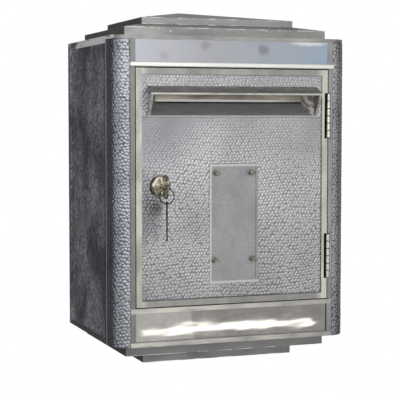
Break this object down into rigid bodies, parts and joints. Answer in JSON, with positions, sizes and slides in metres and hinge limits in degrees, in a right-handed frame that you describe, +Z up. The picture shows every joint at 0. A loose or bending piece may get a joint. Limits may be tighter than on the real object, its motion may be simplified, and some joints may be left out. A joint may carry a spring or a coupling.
{
  "type": "wall mounted mailbox",
  "caption": "Wall mounted letter box in hammered aluminium with a stepped roof, a hooded slot with a flap, a hinged door and a cam lock.",
  "frame": {"origin": "centre of the four wall holes, on the back face that lies against the wall", "axes": "+X to the right as seen from in front, +Y into the wall, +Z up"},
  "size_m": [0.3616, 0.2972, 0.5258],
  "materials": {
    "hammered_aluminium": "hammered, semi gloss",
    "door_aluminium": "hammered field, satin border",
    "smooth_aluminium": "satin, lightly brushed",
    "polished_aluminium": "polished, slightly hazy",
    "dark_aluminium": "oxidised, mottled",
    "roof_aluminium": "satin, weathered",
    "steel_fixings": "turned, dulled",
    "hinge_steel": "bright, worn",
    "lock_nickel": "nickel, slightly yellowed",
    "key_steel": "nickelled, dark with handling"
  },
  "bodies": {
    "casing": {"back_plate": "dark_aluminium", "base_lower_step": "roof_aluminium", "base_screws": "steel_fixings", "base_upper_step": "roof_aluminium", "corner_moulding_left": "hammered_aluminium", "corner_moulding_right": "hammered_aluminium", "drip_ledge": "smooth_aluminium", "floor_plate": "roof_aluminium", "frame_screws": "steel_fixings", "front_frame": "smooth_aluminium", "header_panel": "polished_aluminium", "hinge_frame_rivets": "steel_fixings", "lower_hinge_frame_leaf": "hinge_steel", "lower_hinge_pin": "steel_fixings", "lower_panel": "polished_aluminium", "roof_lower_step": "roof_aluminium", "roof_plate": "roof_aluminium", "roof_screws": "steel_fixings", "roof_upper_step": "roof_aluminium", "side_panel_left": "dark_aluminium", "side_panel_right": "dark_aluminium", "side_rivets_left": "steel_fixings", "side_rivets_right": "steel_fixings", "upper_hinge_frame_leaf": "hinge_steel", "upper_hinge_pin": "steel_fixings"},
    "door": {"door_panel": "door_aluminium", "slot_hood": "smooth_aluminium", "slot_funnel": "dark_aluminium", "flap_pin": "steel_fixings", "funnel_screws": "steel_fixings", "notice_plate": "smooth_aluminium", "notice_screws": "steel_fixings", "notice_nuts": "steel_fixings", "upper_hinge_door_leaf": "hinge_steel", "lower_hinge_door_leaf": "hinge_steel", "hinge_door_rivets": "steel_fixings", "lock_rosette": "lock_nickel", "lock_barrel": "lock_nickel", "lock_nut": "lock_nickel"},
    "flap": {"slot_flap": "dark_aluminium"},
    "lock_core": {"lock_plug": "lock_nickel", "lock_cam": "lock_nickel", "cam_screw": "steel_fixings"},
    "key": {"door_key": "key_steel"},
    "ring": {"key_ring": "key_steel"},
    "spare": {"spare_key": "key_steel"}
  },
  "joints": [
    {"name": "door_hinge", "type": "hinge", "parent": "casing", "child": "door", "pos_m": [0.149, -0.253, 0], "axis": [0, 0, 1], "range_deg": [0, 110]},
    {"name": "flap_hinge", "type": "hinge", "parent": "door", "child": "flap", "pos_m": [0, -0.23095, 0.14645], "axis": [1, 0, 0], "range_deg": [0, 80]},
    {"name": "lock_turn", "type": "hinge", "parent": "door", "child": "lock_core", "pos_m": [-0.1122, -0.25, 0.0083], "axis": [0, -1, 0], "range_deg": [0, 90]},
    {"name": "key_pull", "type": "slide", "parent": "lock_core", "child": "key", "axis": [0, -1, 0], "range_m": [0, 0.027]},
    {"name": "ring_swing", "type": "hinge", "parent": "key", "child": "ring", "pos_m": [-0.1122, -0.2808, 0.0062], "axis": [1, 0, 0], "range_deg": [-60, 15]},
    {"name": "spare_swing", "type": "hinge", "parent": "ring", "child": "spare", "pos_m": [-0.1122, -0.2808, -0.0148], "axis": [0.9455, -0.3256, 0], "range_deg": [-12, 12]}
  ]
}
